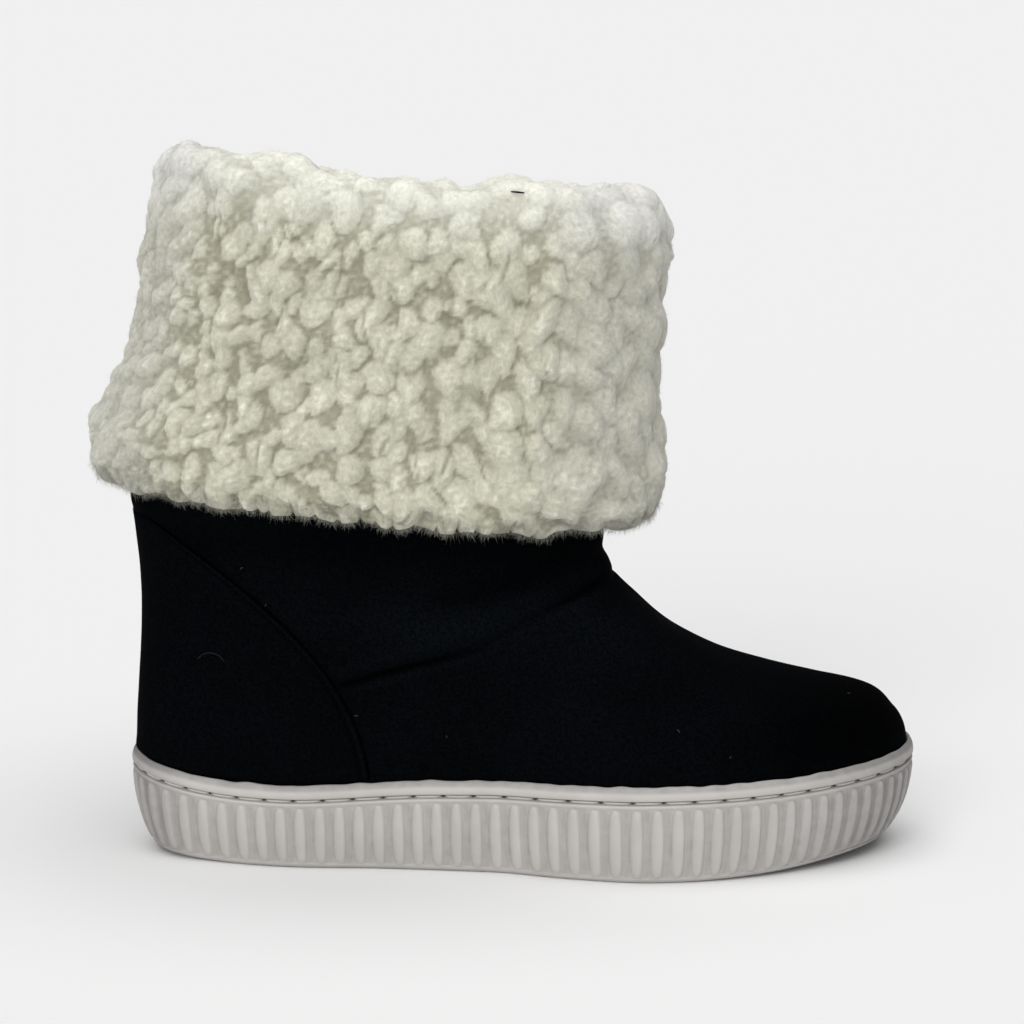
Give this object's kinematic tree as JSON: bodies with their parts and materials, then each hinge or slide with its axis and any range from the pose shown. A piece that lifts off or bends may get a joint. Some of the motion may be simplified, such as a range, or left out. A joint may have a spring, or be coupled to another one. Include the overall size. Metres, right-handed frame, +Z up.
{
  "type": "lined ankle boot",
  "caption": "Right ankle boot in black nubuck with a turned-down fleece cuff, a heel counter panel and a pale cup sole with a stitched rim and upright ribs along its side.",
  "frame": {"origin": "under the middle of the boot's bounding box, on the plane the sole stands on", "axes": "+X from heel to toe, +Y towards the inner side of the foot, +Z up"},
  "size_m": [0.2853, 0.1122, 0.2398],
  "materials": {
    "sole": "matte moulded rubber",
    "suede": "fine matte nap",
    "fleece": "curly pile",
    "sock": "short pile"
  },
  "bodies": {
    "root": {"cup_sole": "sole", "upper": "suede", "heel_counter": "suede", "fleece_cuff": "fleece", "insole": "sock"}
  },
  "joints": []
}
